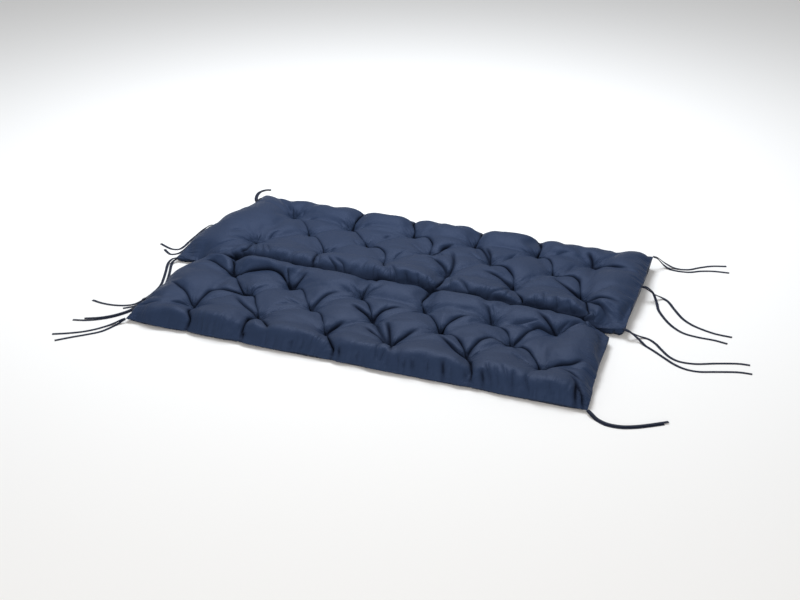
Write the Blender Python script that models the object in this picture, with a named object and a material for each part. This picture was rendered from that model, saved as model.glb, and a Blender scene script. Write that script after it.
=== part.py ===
"""A tufted bench cushion, opened out flat: a seat half and a back half sewn together along a fold.

Metres, +Z up. The cushion rests on z = 0 with its length along X and the back half towards +Y. It is
one filled solid. Each strand of its tie tapes is a flat strap of its own, which starts at the seam.
"""
import math
from collections import namedtuple

import bmesh
import bpy
from mathutils import Vector

# ---- Driving dimensions of the cushion ----------------------------------------------------------
DEPTH = 0.980             # front edge of the seat to rear edge of the back, along Y
TUFT_PITCH = 0.216        # between the tufts of one row
ROW_PITCH = 0.118         # between the rows of tufts in one half
TUFTS_PER_LONG_ROW = 6    # the front and rear row of a half; the middle row has one tuft less
FOLD_TO_ROW = 0.128       # the fold line to the nearest row of tufts, in both halves
TUFT_CENTRE_X = 0.039     # middle of the long rows of the seat; the filling has crept to the left
BACK_SHIFT_X = -0.011     # how far the back half's tufts lie beside the seat's
CROWN = 0.073             # height of a full puff above the surface it lies on
UNEVEN = 0.003            # how much the puffs differ in height

# How the cloth rises from a seam: the distance over which it reaches its full height.
END_RISE = 0.065
FRONT_RISE = 0.050
REAR_RISE = 0.070
SEAT_FOLD_RISE = 0.115
BACK_FOLD_RISE = 0.050
FOLD_FULLNESS = 0.13      # the share of the full height that is left at the sewn fold

# Troughs: depth is the share of the height that is lost, width is where half of that is left.
TUFT_DEPTH, TUFT_WIDTH = 0.70, 0.027
DEEP_DEPTH, DEEP_WIDTH = 0.50, 0.015      # creases that run from a tuft to the right and forwards
SOFT_DEPTH, SOFT_WIDTH = 0.28, 0.019      # creases that run to the left and forwards
EDGE_DEPTH, EDGE_WIDTH = 0.44, 0.016      # creases from the outer tufts straight to the seams
SEAM_DRAW = 0.009         # how far such a crease draws the seam inwards
SEAM_DRAW_REACH = 0.05    # how far from the seam the cloth still follows that
UNDERSIDE_FULLNESS = 1.9  # above 1 the underside lies flat over most of each puff

# ---- Grid of the cushion's faces ----------------------------------------------------------------
CELLS_PER_TUFT_PITCH = 10
CELLS_PER_ROW_PITCH = 5
END_STOPS = (0.0, 0.02, 0.08, 0.18, 0.32, 0.52, 0.76)       # share of the margin beyond the tufts
SIDE_STOPS = (0.0, 0.035, 0.13, 0.30, 0.58)
FOLD_STOPS = (0.0, 0.035, 0.12, 0.28, 0.58)

# ---- The seam at the two ends, from front to rear -----------------------------------------------
# at: the place along Y as if the cushion were a plain rectangle; x, along: where the seam really runs
# and how far it is pulled along Y there; height: of the seam above the surface.
Station = namedtuple("Station", "place at x along height")
TIP_PLACE = FOLD_STOPS[2] * FOLD_TO_ROW
LEFT_END = (
    Station("front corner", -0.490, -0.674, 0.000, 0.012),
    Station("seat side", -0.340, -0.673, 0.000, 0.024),
    Station("seat side towards the fold", -0.180, -0.681, 0.000, 0.022),
    Station("seat corner at the fold", -0.070, -0.676, -0.012, 0.018),
    Station("fold", 0.000, -0.640, -0.040, 0.014),
    Station("tip of the back half", TIP_PLACE, -0.753, -0.068, 0.013),
    Station("back side, bulging", 0.128, -0.762, -0.020, 0.018),
    Station("back side", 0.246, -0.752, 0.000, 0.024),
    Station("back side, narrower", 0.364, -0.709, 0.000, 0.027),
    Station("rear corner", 0.490, -0.698, -0.012, 0.030),
)
RIGHT_END = (
    Station("front corner", -0.490, 0.762, 0.000, 0.010),
    Station("seat side", -0.280, 0.733, 0.000, 0.028),
    Station("seat corner at the fold", -0.085, 0.716, 0.000, 0.024),
    Station("fold", 0.000, 0.655, -0.030, 0.018),
    Station("tip of the back half", TIP_PLACE, 0.746, -0.040, 0.028),
    Station("back side towards the fold", 0.070, 0.737, -0.010, 0.036),
    Station("back side", 0.250, 0.727, 0.000, 0.044),
    Station("rear corner", 0.490, 0.709, -0.005, 0.040),
)
FRONT_SEAM_HEIGHT = 0.009
FOLD_SEAM_HEIGHT = 0.017
REAR_SEAM_HEIGHT = 0.026

# ---- Tie tapes ----------------------------------------------------------------------------------
TAPE_WIDTH = 0.009
TAPE_THICKNESS = 0.0016
TAPE_STEP = 0.022         # between two cross sections of a tape
SEAM_GAP = 0.0006         # between a tape's end and the seam that it is sewn into

# Each tape starts in the seam at a place of one end, a little above or below the other one of its
# pair. Its route is a list of points by hand, from there to the free end, along the middle of the
# tape. FLAT lies on the surface and OVER lies on another tape.
ABOVE, BELOW = 0.0014, -0.0014
FLAT, OVER = 0.0010, 0.0034
Tape = namedtuple("Tape", "name end at lift route")
TAPES = (
    Tape("tie_right_rear_a", RIGHT_END, 0.490, ABOVE, (
        (0.722, 0.496, 0.034), (0.745, 0.507, 0.014), (0.772, 0.506, OVER), (0.800, 0.507, FLAT),
        (0.826, 0.517, FLAT), (0.849, 0.540, FLAT), (0.885, 0.568, FLAT), (0.930, 0.585, FLAT))),
    Tape("tie_right_rear_b", RIGHT_END, 0.490, BELOW, (
        (0.722, 0.494, 0.031), (0.744, 0.499, 0.009), (0.770, 0.492, FLAT), (0.800, 0.490, FLAT),
        (0.831, 0.497, FLAT), (0.860, 0.517, FLAT), (0.900, 0.532, FLAT), (0.948, 0.538, FLAT))),
    Tape("tie_right_back_a", RIGHT_END, 0.246, ABOVE, (
        (0.745, 0.2472, 0.043), (0.765, 0.245, 0.029), (0.782, 0.228, 0.008), (0.800, 0.185, FLAT),
        (0.833, 0.132, FLAT), (0.866, 0.093, FLAT), (0.903, 0.066, FLAT), (0.949, 0.057, FLAT),
        (0.995, 0.056, FLAT), (1.035, 0.048, FLAT))),
    Tape("tie_right_back_b", RIGHT_END, 0.246, BELOW, (
        (0.742, 0.2470, 0.039), (0.766, 0.258, 0.019), (0.790, 0.270, 0.005), (0.812, 0.258, FLAT),
        (0.842, 0.212, FLAT), (0.877, 0.162, FLAT), (0.910, 0.132, FLAT), (0.945, 0.113, FLAT),
        (0.990, 0.098, FLAT), (1.040, 0.094, FLAT))),
    Tape("tie_right_fold_a", RIGHT_END, TIP_PLACE, ABOVE, (
        (0.760, -0.030, 0.026), (0.788, -0.034, 0.010), (0.818, -0.056, FLAT), (0.848, -0.078, FLAT),
        (0.885, -0.108, FLAT), (0.919, -0.134, FLAT), (0.955, -0.150, FLAT), (0.993, -0.150, FLAT),
        (1.040, -0.132, FLAT), (1.095, -0.112, FLAT), (1.135, -0.108, FLAT))),
    Tape("tie_right_fold_b", RIGHT_END, TIP_PLACE, BELOW, (
        (0.761, -0.024, 0.021), (0.785, -0.012, 0.007), (0.810, -0.008, FLAT), (0.838, -0.028, FLAT),
        (0.866, -0.062, FLAT), (0.896, -0.095, FLAT), (0.930, -0.112, FLAT), (0.975, -0.108, FLAT),
        (1.025, -0.085, FLAT), (1.085, -0.062, FLAT), (1.120, -0.058, FLAT))),
    Tape("tie_right_front_a", RIGHT_END, -0.490, ABOVE, (
        (0.775, -0.500, 0.009), (0.795, -0.513, OVER), (0.826, -0.527, OVER), (0.862, -0.526, OVER),
        (0.897, -0.512, OVER), (0.931, -0.490, OVER), (0.975, -0.457, OVER))),
    Tape("tie_right_front_b", RIGHT_END, -0.490, BELOW, (
        (0.774, -0.502, 0.006), (0.794, -0.517, FLAT), (0.824, -0.532, FLAT), (0.862, -0.532, FLAT),
        (0.899, -0.517, FLAT), (0.934, -0.494, FLAT), (0.966, -0.470, FLAT))),
    Tape("tie_left_rear_a", LEFT_END, 0.490, ABOVE, (
        (-0.712, 0.485, 0.026), (-0.732, 0.500, 0.008), (-0.750, 0.527, OVER), (-0.762, 0.560, OVER),
        (-0.766, 0.592, OVER), (-0.755, 0.613, OVER), (-0.738, 0.620, OVER))),
    Tape("tie_left_rear_b", LEFT_END, 0.490, BELOW, (
        (-0.713, 0.484, 0.023), (-0.733, 0.497, 0.005), (-0.753, 0.525, FLAT), (-0.766, 0.558, FLAT),
        (-0.771, 0.588, FLAT), (-0.764, 0.606, FLAT))),
    Tape("tie_left_back_a", LEFT_END, 0.2165, ABOVE, (
        (-0.769, 0.2126, 0.020), (-0.788, 0.196, 0.006), (-0.791, 0.150, FLAT), (-0.789, 0.100, FLAT),
        (-0.786, 0.060, FLAT), (-0.789, 0.034, FLAT), (-0.806, 0.028, FLAT), (-0.838, 0.041, FLAT),
        (-0.870, 0.054, FLAT))),
    Tape("tie_left_back_b", LEFT_END, 0.2165, BELOW, (
        (-0.766, 0.2124, 0.016), (-0.778, 0.190, 0.004), (-0.778, 0.140, FLAT), (-0.776, 0.090, FLAT),
        (-0.773, 0.040, FLAT), (-0.774, -0.003, FLAT), (-0.790, -0.012, FLAT), (-0.812, 0.010, FLAT),
        (-0.834, 0.018, FLAT))),
    Tape("tie_left_fold_a", LEFT_END, TIP_PLACE, ABOVE, (
        (-0.764, -0.060, 0.013), (-0.763, -0.085, 0.007), (-0.745, -0.128, FLAT),
        (-0.722, -0.183, FLAT), (-0.706, -0.228, FLAT), (-0.700, -0.270, FLAT),
        (-0.700, -0.312, FLAT), (-0.704, -0.350, FLAT), (-0.714, -0.378, FLAT),
        (-0.738, -0.396, FLAT), (-0.772, -0.406, FLAT), (-0.810, -0.407, FLAT),
        (-0.848, -0.400, FLAT))),
    Tape("tie_left_fold_b", LEFT_END, TIP_PLACE, BELOW, (
        (-0.758, -0.064, 0.007), (-0.750, -0.086, FLAT), (-0.732, -0.125, FLAT),
        (-0.709, -0.178, FLAT), (-0.693, -0.225, FLAT), (-0.687, -0.270, FLAT),
        (-0.688, -0.312, FLAT), (-0.692, -0.350, FLAT), (-0.704, -0.386, FLAT),
        (-0.730, -0.414, FLAT))),
    Tape("tie_left_seat_a", LEFT_END, -0.364, ABOVE, (
        (-0.684, -0.364, 0.020), (-0.695, -0.386, 0.006), (-0.700, -0.413, OVER),
        (-0.712, -0.442, OVER), (-0.734, -0.474, OVER), (-0.763, -0.500, OVER),
        (-0.800, -0.520, OVER))),
    Tape("tie_left_seat_b", LEFT_END, -0.364, BELOW, (
        (-0.683, -0.3645, 0.016), (-0.692, -0.388, 0.003), (-0.697, -0.415, FLAT),
        (-0.709, -0.445, FLAT), (-0.730, -0.478, FLAT), (-0.757, -0.504, FLAT),
        (-0.790, -0.525, FLAT), (-0.830, -0.538, FLAT))),
    Tape("tie_left_front_a", LEFT_END, -0.490, ABOVE, (
        (-0.684, -0.498, 0.010), (-0.700, -0.516, OVER), (-0.716, -0.540, FLAT),
        (-0.731, -0.563, FLAT), (-0.758, -0.592, FLAT), (-0.795, -0.618, FLAT),
        (-0.835, -0.640, FLAT))),
    Tape("tie_left_front_b", LEFT_END, -0.490, BELOW, (
        (-0.681, -0.501, 0.007), (-0.691, -0.520, FLAT), (-0.700, -0.550, FLAT),
        (-0.713, -0.577, FLAT), (-0.742, -0.608, FLAT), (-0.775, -0.640, FLAT),
        (-0.805, -0.672, FLAT))),
)


def clear_scene():
    for old in list(bpy.data.objects):
        bpy.data.objects.remove(old, do_unlink=True)


def cloth_material(name, colour, roughness):
    material = bpy.data.materials.new(name)
    material.diffuse_color = colour
    material.use_nodes = True
    shader = material.node_tree.nodes["Principled BSDF"]
    shader.inputs["Base Color"].default_value = colour
    shader.inputs["Roughness"].default_value = roughness
    shader.inputs["Metallic"].default_value = 0.0
    return material


def mesh_object(name, shape, material):
    mesh = bpy.data.meshes.new(name)
    shape.to_mesh(mesh)
    shape.free()
    mesh.materials.append(material)
    thing = bpy.data.objects.new(name, mesh)
    bpy.context.scene.collection.objects.link(thing)
    return thing


# ---- The cushion --------------------------------------------------------------------------------
BACK_ROWS = tuple(FOLD_TO_ROW + row * ROW_PITCH for row in range(3))
ROWS = tuple(-y for y in reversed(BACK_ROWS)) + BACK_ROWS
FIRST_TUFT_X = TUFT_CENTRE_X - (TUFTS_PER_LONG_ROW - 1) * TUFT_PITCH / 2
LAST_TUFT_X = TUFT_CENTRE_X + (TUFTS_PER_LONG_ROW - 1) * TUFT_PITCH / 2
LEFT_X, RIGHT_X = -0.690, 0.730          # ends of the plain rectangle that the grid starts from


def row_tufts(row):
    """The places of one row's tufts along X, before the back half's own shift."""
    short = row % 3 == 1
    first = FIRST_TUFT_X + (TUFT_PITCH / 2 if short else 0.0)
    return [first + TUFT_PITCH * i for i in range(TUFTS_PER_LONG_ROW - (1 if short else 0))]


def between(stations, place):
    """The seam's x, pull along Y and height at a place along one end."""
    for low, high in zip(stations, stations[1:]):
        if place <= high.at:
            share = (place - low.at) / (high.at - low.at)
            return [a + share * (b - a) for a, b in zip(low[2:], high[2:])]
    return list(stations[-1][2:])


def distance_to_segment(x, y, start, end):
    run_x, run_y = end[0] - start[0], end[1] - start[1]
    length_squared = run_x ** 2 + run_y ** 2
    share = 0.0
    if length_squared > 0.0:
        share = ((x - start[0]) * run_x + (y - start[1]) * run_y) / length_squared
        share = min(1.0, max(0.0, share))
    return math.hypot(x - start[0] - share * run_x, y - start[1] - share * run_y)


Crease = namedtuple("Crease", "start end depth width")


def creases():
    """The tufts, and the troughs from tuft to tuft and from the outer tufts to the seams and the fold."""
    found = []
    for row, y in enumerate(ROWS):
        tufts = row_tufts(row)
        for x in tufts:
            found.append(Crease((x, y), (x, y), TUFT_DEPTH, TUFT_WIDTH))
        if row % 3 < 2:
            for x in tufts:
                for other in row_tufts(row + 1):
                    if abs(other - x) < 0.6 * TUFT_PITCH:
                        deep = other < x
                        found.append(Crease((x, y), (other, ROWS[row + 1]),
                                            DEEP_DEPTH if deep else SOFT_DEPTH,
                                            DEEP_WIDTH if deep else SOFT_WIDTH))
        seams = {0: -DEPTH / 2, 2: 0.0, 3: 0.0, 5: DEPTH / 2}
        if row in seams:
            found += [Crease((x, y), (x, seams[row]), EDGE_DEPTH, EDGE_WIDTH) for x in tufts]
            found.append(Crease((tufts[0], y), (LEFT_X, y), SOFT_DEPTH, SOFT_WIDTH))
            found.append(Crease((tufts[-1], y), (RIGHT_X, y), SOFT_DEPTH, SOFT_WIDTH))
    return found


CREASES = creases()


def trough(x, y):
    """How much of the height is lost at a place of the plain rectangle: 0 on a puff, near 1 at a tuft."""
    kept = 1.0
    for crease in CREASES:
        distance = distance_to_segment(x, y, crease.start, crease.end)
        if distance < 3 * crease.width:
            kept = min(kept, 1.0 - crease.depth * 0.5 ** ((distance / crease.width) ** 2))
    return 1.0 - kept


def rise(distance, over):
    """Quarter of an ellipse: the share of the full height at a distance from a seam."""
    share = min(1.0, max(0.0, distance / over))
    return math.sqrt(1.0 - (1.0 - share) ** 2)


def unevenness(x, y):
    return UNEVEN * (math.sin(9.0 * x + 4.0 * y + 0.5) * math.cos(7.0 * y - 3.0 * x) +
                     0.6 * math.sin(23.0 * x - 15.0 * y))


def grid_stops():
    """The lines of the plain rectangle's grid along X and along Y."""
    left = [LEFT_X + stop * (FIRST_TUFT_X - LEFT_X) for stop in END_STOPS]
    right = [RIGHT_X + stop * (LAST_TUFT_X - RIGHT_X) for stop in reversed(END_STOPS)]
    cells = CELLS_PER_TUFT_PITCH * (TUFTS_PER_LONG_ROW - 1)
    along_x = left + [FIRST_TUFT_X + i * TUFT_PITCH / CELLS_PER_TUFT_PITCH for i in range(cells + 1)] + right
    outer = [DEPTH / 2 - stop * (DEPTH / 2 - ROWS[5]) for stop in SIDE_STOPS]
    rows = [ROWS[3] + i * ROW_PITCH / CELLS_PER_ROW_PITCH for i in range(2 * CELLS_PER_ROW_PITCH + 1)]
    inner = [stop * FOLD_TO_ROW for stop in FOLD_STOPS]
    back = inner + rows + outer[::-1]
    return along_x, [-y for y in back[:0:-1]] + back


def smooth_step(share):
    share = min(1.0, max(0.0, share))
    return share * share * (3.0 - 2.0 * share)


def fold_share(y):
    """How full the cloth is beside the fold: steep on the back half, sloping on the seat."""
    over = BACK_FOLD_RISE if y > 0 else SEAT_FOLD_RISE
    return FOLD_FULLNESS + (1.0 - FOLD_FULLNESS) * rise(abs(y), over)


def cushion_points(x, y):
    """Places of the upper and the lower cloth for one point of the plain rectangle."""
    left_x, left_along, left_height = between(LEFT_END, y)
    right_x, right_along, right_height = between(RIGHT_END, y)
    at_left = 1.0 - smooth_step((x - LEFT_X) / (FIRST_TUFT_X - LEFT_X))
    at_right = 1.0 - smooth_step((RIGHT_X - x) / (RIGHT_X - LAST_TUFT_X))
    real_x = x + at_left * (left_x - LEFT_X) + at_right * (right_x - RIGHT_X)
    real_x += BACK_SHIFT_X * smooth_step(y / FOLD_TO_ROW) * (1.0 - at_left - at_right)
    real_y = y + at_left * left_along + at_right * right_along

    # Each crease draws the long seams in, except at the corners, which the tables of the ends place.
    lost = trough(x, y)
    to_seam = DEPTH / 2 - abs(y)
    drawn = max(0.0, 1.0 - to_seam / SEAM_DRAW_REACH) * (1.0 - max(at_left, at_right) ** 8)
    real_y -= math.copysign(SEAM_DRAW, y) * drawn * lost / EDGE_DEPTH

    # The cloth rises from every seam to its full height, less what the troughs take.
    from_end = min(real_x - left_x, right_x - real_x)
    side_rise = FRONT_RISE if y < 0 else REAR_RISE
    full = rise(from_end, END_RISE) * rise(to_seam, side_rise) * fold_share(y)
    outer_height = FRONT_SEAM_HEIGHT if y < 0 else REAR_SEAM_HEIGHT
    seam = FOLD_SEAM_HEIGHT + (outer_height - FOLD_SEAM_HEIGHT) * smooth_step(2 * abs(y) / DEPTH)
    seam += at_left ** 3 * (left_height - seam) + at_right ** 3 * (right_height - seam)

    top = seam + full * (1.0 - lost) * (CROWN + unevenness(x, y) - seam)
    under = seam * (1.0 - min(1.0, UNDERSIDE_FULLNESS * full * (1.0 - lost)))
    return Vector((real_x, real_y, top)), Vector((real_x, real_y, under))


def split_cell(corners, middle):
    """Two triangles, parted along the diagonal that lies nearer to the cloth at the cell's middle."""
    a, b, c, d = corners
    first_miss = abs((a.co.z + c.co.z) / 2 - middle.z)
    second_miss = abs((b.co.z + d.co.z) / 2 - middle.z)
    if first_miss <= second_miss:
        return (a, b, c), (a, c, d)
    return (a, b, d), (b, c, d)


def make_cushion(material):
    along_x, along_y = grid_stops()
    shape = bmesh.new()
    upper, lower = [], []
    for row, y in enumerate(along_y):
        upper.append([])
        lower.append([])
        for column, x in enumerate(along_x):
            top, under = cushion_points(x, y)
            on_seam = row in (0, len(along_y) - 1) or column in (0, len(along_x) - 1)
            vertex = shape.verts.new(top)
            upper[-1].append(vertex)
            lower[-1].append(vertex if on_seam else shape.verts.new(under))
    for row in range(len(along_y) - 1):
        for column in range(len(along_x) - 1):
            middle_x = (along_x[column] + along_x[column + 1]) / 2
            middle_y = (along_y[row] + along_y[row + 1]) / 2
            middles = cushion_points(middle_x, middle_y)
            for cloth, middle, turn in ((upper, middles[0], 1), (lower, middles[1], -1)):
                corners = (cloth[row][column], cloth[row][column + 1],
                           cloth[row + 1][column + 1], cloth[row + 1][column])
                for face in split_cell(corners, middle):
                    shape.faces.new(face[::turn]).smooth = True
    return mesh_object("cushion", shape, material)


# ---- The tie tapes ------------------------------------------------------------------------------
def smooth_curve(points, step):
    """Points about a step apart on a Catmull-Rom curve through a tape's route."""
    ends = [2 * points[0] - points[1]] + points + [2 * points[-1] - points[-2]]
    line = []
    for before, start, end, after in zip(ends, ends[1:], ends[2:], ends[3:]):
        cuts = max(1, round((end - start).length / step))
        slope = end - before
        bend = 2 * before - 5 * start + 4 * end - after
        twist = 3 * start - before - 3 * end + after
        for i in range(cuts):
            t = i / cuts
            line.append(start + 0.5 * (t * slope + t ** 2 * bend + t ** 3 * twist))
    line.append(points[-1])
    return [Vector((point.x, point.y, max(point.z, FLAT))) for point in line]


def make_tape(tape, material):
    x, along, height = between(tape.end, tape.at)
    points = [Vector((x, tape.at + along, height + tape.lift))] + [Vector(point) for point in tape.route]
    points[0] += (points[1] - points[0]).normalized() * SEAM_GAP
    line = smooth_curve(points, TAPE_STEP)
    shape = bmesh.new()
    sections = []
    for i, middle in enumerate(line):
        forward = line[min(i + 1, len(line) - 1)] - line[max(i - 1, 0)]
        across = forward.cross(Vector((0, 0, 1))).normalized() * TAPE_WIDTH / 2
        normal = across.cross(forward).normalized() * TAPE_THICKNESS / 2
        sections.append([shape.verts.new(middle + a * across + b * normal)
                         for a, b in ((-1, -1), (1, -1), (1, 1), (-1, 1))])
    for first, second in zip(sections, sections[1:]):
        for k in range(4):
            shape.faces.new((first[k], first[(k + 1) % 4], second[(k + 1) % 4], second[k]))
    shape.faces.new(sections[0][::-1])
    shape.faces.new(sections[-1])
    bmesh.ops.recalc_face_normals(shape, faces=shape.faces[:])
    return mesh_object(tape.name, shape, material)


clear_scene()
cushion_cloth = cloth_material("cushion_cloth", (0.045, 0.064, 0.115, 1.0), 0.62)
tape_cloth = cloth_material("tape_cloth", (0.036, 0.048, 0.085, 1.0), 0.68)
make_cushion(cushion_cloth)
for tie_tape in TAPES:
    make_tape(tie_tape, tape_cloth)
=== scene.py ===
import math
from collections import namedtuple

import bmesh
import bpy
import numpy as np
from mathutils import Matrix, Vector
from mathutils.geometry import delaunay_2d_cdt


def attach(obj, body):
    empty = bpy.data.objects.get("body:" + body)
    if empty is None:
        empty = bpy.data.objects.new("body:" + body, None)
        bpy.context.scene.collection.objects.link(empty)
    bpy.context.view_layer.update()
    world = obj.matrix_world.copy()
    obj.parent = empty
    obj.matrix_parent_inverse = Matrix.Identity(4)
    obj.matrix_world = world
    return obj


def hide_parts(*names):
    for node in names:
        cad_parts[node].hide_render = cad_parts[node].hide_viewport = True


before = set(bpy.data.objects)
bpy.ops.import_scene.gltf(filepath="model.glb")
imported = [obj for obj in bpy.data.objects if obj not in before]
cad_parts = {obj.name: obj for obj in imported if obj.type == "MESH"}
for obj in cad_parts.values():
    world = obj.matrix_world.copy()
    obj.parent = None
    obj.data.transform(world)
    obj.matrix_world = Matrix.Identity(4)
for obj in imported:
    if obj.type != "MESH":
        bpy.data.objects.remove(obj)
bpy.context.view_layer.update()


# ==== The seam round the two halves ====
# A seat half and a back half lie open in one case, sewn along a fold with a notch at each end.
# The upper and the lower cloth are sewn together round the rim, in a plain knife-edge seam.
DEPTH = 0.980
LEFT_X, RIGHT_X = -0.690, 0.730  # ends of the plain rectangle that the cloth is set out on
FIRST_TUFT_X, LAST_TUFT_X = -0.501, 0.579
BACK_SHIFT_X = -0.011
TUFT_PITCH, FOLD_TO_ROW = 0.216, 0.128
TIP_PLACE = 0.12 * FOLD_TO_ROW
FRONT_SEAM_HEIGHT, FOLD_SEAM_HEIGHT, REAR_SEAM_HEIGHT = 0.009, 0.017, 0.026

# Each row: the place and its Y on the plain rectangle, the x where the seam really runs there, how
# far it is pulled along Y, and its height above the floor.
LEFT_END = (
    ("front corner", -0.490, -0.674, 0.000, 0.012),
    ("seat side", -0.340, -0.673, 0.000, 0.024),
    ("seat side towards the fold", -0.180, -0.681, 0.000, 0.022),
    ("seat corner at the fold", -0.070, -0.676, -0.012, 0.018),
    ("fold", 0.000, -0.640, -0.040, 0.014),
    ("tip of the back half", TIP_PLACE, -0.753, -0.068, 0.013),
    ("back side, bulging", 0.128, -0.762, -0.020, 0.018),
    ("back side", 0.246, -0.752, 0.000, 0.024),
    ("back side, narrower", 0.364, -0.709, 0.000, 0.027),
    ("rear corner", 0.490, -0.698, -0.012, 0.030),
)
RIGHT_END = (
    ("front corner", -0.490, 0.762, 0.000, 0.010),
    ("seat side", -0.280, 0.733, 0.000, 0.028),
    ("seat corner at the fold", -0.085, 0.716, 0.000, 0.024),
    ("fold", 0.000, 0.655, -0.030, 0.018),
    ("tip of the back half", TIP_PLACE, 0.746, -0.040, 0.028),
    ("back side towards the fold", 0.070, 0.737, -0.010, 0.036),
    ("back side", 0.250, 0.727, 0.000, 0.044),
    ("rear corner", 0.490, 0.709, -0.005, 0.040),
)


def seam_at(end, place):
    """The seam's x, pull along Y and height, at places along one end."""
    _, at, *seam = zip(*end)
    return [np.interp(place, at, column) for column in seam]


def smooth_step(share):
    share = np.clip(share, 0.0, 1.0)
    return share * share * (3.0 - 2.0 * share)


def laid_out(x, y):
    """Where points of the plain rectangle lie: x, y, height of the seam, and nearness to either end."""
    left_x, left_along, left_height = seam_at(LEFT_END, y)
    right_x, right_along, right_height = seam_at(RIGHT_END, y)
    at_left = 1.0 - smooth_step((x - LEFT_X) / (FIRST_TUFT_X - LEFT_X))
    at_right = 1.0 - smooth_step((RIGHT_X - x) / (RIGHT_X - LAST_TUFT_X))
    real_x = x + at_left * (left_x - LEFT_X) + at_right * (right_x - RIGHT_X)
    real_x = real_x + BACK_SHIFT_X * smooth_step(y / FOLD_TO_ROW) * (1.0 - at_left - at_right)
    real_y = y + at_left * left_along + at_right * right_along
    outer = np.where(y < 0, FRONT_SEAM_HEIGHT, REAR_SEAM_HEIGHT)
    seam = FOLD_SEAM_HEIGHT + (outer - FOLD_SEAM_HEIGHT) * smooth_step(2 * np.abs(y) / DEPTH)
    seam = seam + at_left ** 3 * (left_height - seam) + at_right ** 3 * (right_height - seam)
    from_end = np.minimum(real_x - left_x, right_x - real_x)
    return real_x, real_y, seam, from_end, np.maximum(at_left, at_right)


# ==== The tufts ====
# A doubled thread is drawn through the filling at each tuft and tied, so that it holds the upper
# cloth down. Rows of six, five and six tufts in each half, a little uneven as sewn by hand.


class Tuft(namedtuple("Tuft", "x y height")):
    def away(self, x, y):
        """How far points lie from the tuft."""
        return np.hypot(x - self.x, y - self.y)


TUFT_ROWS = (
    # y of the row, its first x, then how far each tuft lies off its even place: right, back, up (mm)
    (-0.364, -0.501, ((-9, 2, 1), (-6, 8, 5), (3, -5, -3), (-8, -9, -4), (8, 6, 4), (9, 6, 4))),
    (-0.246, -0.393, ((3, 9, 6), (7, -2, -1), (-2, -5, -3), (-6, 0, 0), (-4, 0, 0))),
    (-0.128, -0.501, ((1, 6, 4), (-5, -8, -4), (11, 5, 4), (5, -2, -1), (4, -6, -3), (-13, -3, -2))),
    (0.128, -0.512, ((-17, -2, -1), (1, -5, -3), (-2, 5, 3), (3, -1, 0), (10, -4, -3), (10, 1, 1))),
    (0.246, -0.404, ((3, 1, 0), (5, -1, -1), (0, 3, 2), (-5, 9, 5), (-9, 6, 4))),
    (0.364, -0.512, ((1, 0, 0), (5, -9, -5), (6, 1, 1), (11, 2, 1), (8, 3, 2), (-17, -4, -2))),
)
TUFT_HEIGHT = 0.034
TUFTS = [Tuft(first + TUFT_PITCH * i + right / 1000, y + back / 1000, TUFT_HEIGHT + up / 1000)
         for y, first, offsets in TUFT_ROWS
         for i, (right, back, up) in enumerate(offsets)]


# ==== The creases of the cloth ====
# Between the tufts the filled cloth is pressed into narrow creases. The deepest ones run from tuft
# to tuft, and wrinkles spread from each tuft and stand upright in the front sides of both halves.
# The seat's rear edge stands up in two rolls at its left. Each row here is one crease: x, y, x, y and
# so on along it, in mm on the plain rectangle.
DEEP_CREASES = (
    (-650, -108, -599, -84, -550, -104, -500, -122),
    (-500, -122, -450, -94, -413, -78, -377, -80, -327, -112, -290, -136),
    (-511, 364, -460, 330, -430, 292, -401, 247),
    (-401, 247, -380, 238, -350, 214, -320, 174, -292, 132, -295, 123),
    (-286, 490, -290, 440, -292, 378, -291, 355), (-291, 355, -224, 284, -196, 260, -183, 245),
    (-183, 245, -156, 234, -122, 212, -92, 174, -82, 133), (-104, 490, -96, 440, -78, 396, -74, 365),
    (-74, 365, -18, 360, 4, 338, 22, 298, 28, 249), (139, 127, 142, 88, 142, 36, 134, 6),
    (140, 490, 146, 430, 148, 396, 147, 366), (239, 255, 290, 236, 320, 208, 348, 168, 362, 124),
    (362, 124, 396, 52, 410, 20, 416, 4), (340, 490, 352, 440, 364, 404, 360, 367),
    (360, 367, 400, 356, 424, 322, 442, 286, 451, 252),
    (451, 252, 502, 250, 526, 244, 548, 218, 568, 164, 578, 129), (578, 129, 594, 114, 610, 58, 626, 8),
    (-560, 2, -522, -78, -500, -122), (-500, -122, -456, -176, -412, -228, -390, -237),
    (-390, -237, -372, -232, -338, -288, -308, -330, -291, -356),
    (-291, -356, -306, -386, -300, -430, -296, -468, -292, -484),
    (-291, -356, -254, -396, -226, -434, -208, -470), (-334, -62, -310, -98, -290, -136),
    (-290, -136, -260, -138, -228, -172, -202, -212, -170, -248),
    (-170, -248, -128, -278, -96, -324, -66, -369), (-58, -123, -14, -172, 12, -212, 37, -251),
    (126, 4, 132, -56, 134, -96, 152, -130), (152, -130, 204, -192, 234, -230, 249, -246),
    (249, -246, 256, -198, 266, -166, 284, -146, 312, -136),
    (249, -246, 292, -262, 328, -300, 352, -332, 371, -358),
    (367, -134, 384, -142, 422, -176, 440, -198, 467, -246),
    (467, -246, 494, -250, 528, -276, 554, -312, 588, -358),
    (-510, -362, -496, -416, -472, -464, -470, -490), (-66, -369, -22, -442, -2, -472, 2, -486),
    (371, -358, 398, -412, 414, -456, 420, -482),
)
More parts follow.
